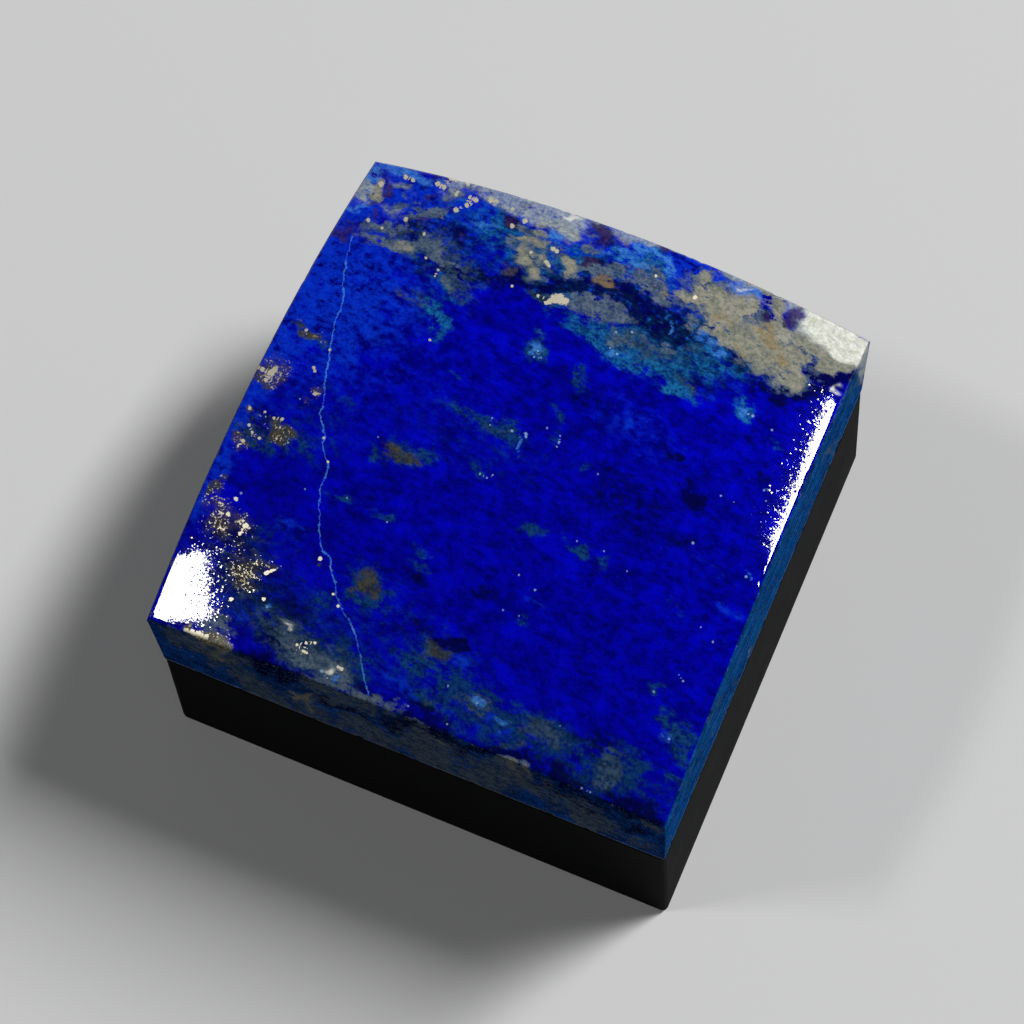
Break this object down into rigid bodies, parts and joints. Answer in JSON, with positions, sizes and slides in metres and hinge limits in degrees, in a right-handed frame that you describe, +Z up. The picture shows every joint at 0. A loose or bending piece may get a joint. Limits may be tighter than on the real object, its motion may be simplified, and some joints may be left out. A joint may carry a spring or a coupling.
{
  "type": "lapis lazuli key top",
  "caption": "Square polished slab of lapis lazuli with a gently domed top and upright walls, bonded flush on a satin black block with a flat underside.",
  "frame": {"origin": "centre of the black block's flat underside", "axes": "+Z up through the domed top; -Y out of the front wall, under the flattest of the four top edges; +X out of the right wall"},
  "size_m": [0.0184, 0.0184, 0.0125],
  "materials": {
    "lapis": "mirror polished ultramarine lapis with calcite clouds and pyrite flecks",
    "black_block": "satin black, finely sanded from top to foot"
  },
  "bodies": {
    "root": {"lapis_stone": "lapis", "black_base": "black_block"}
  },
  "joints": []
}
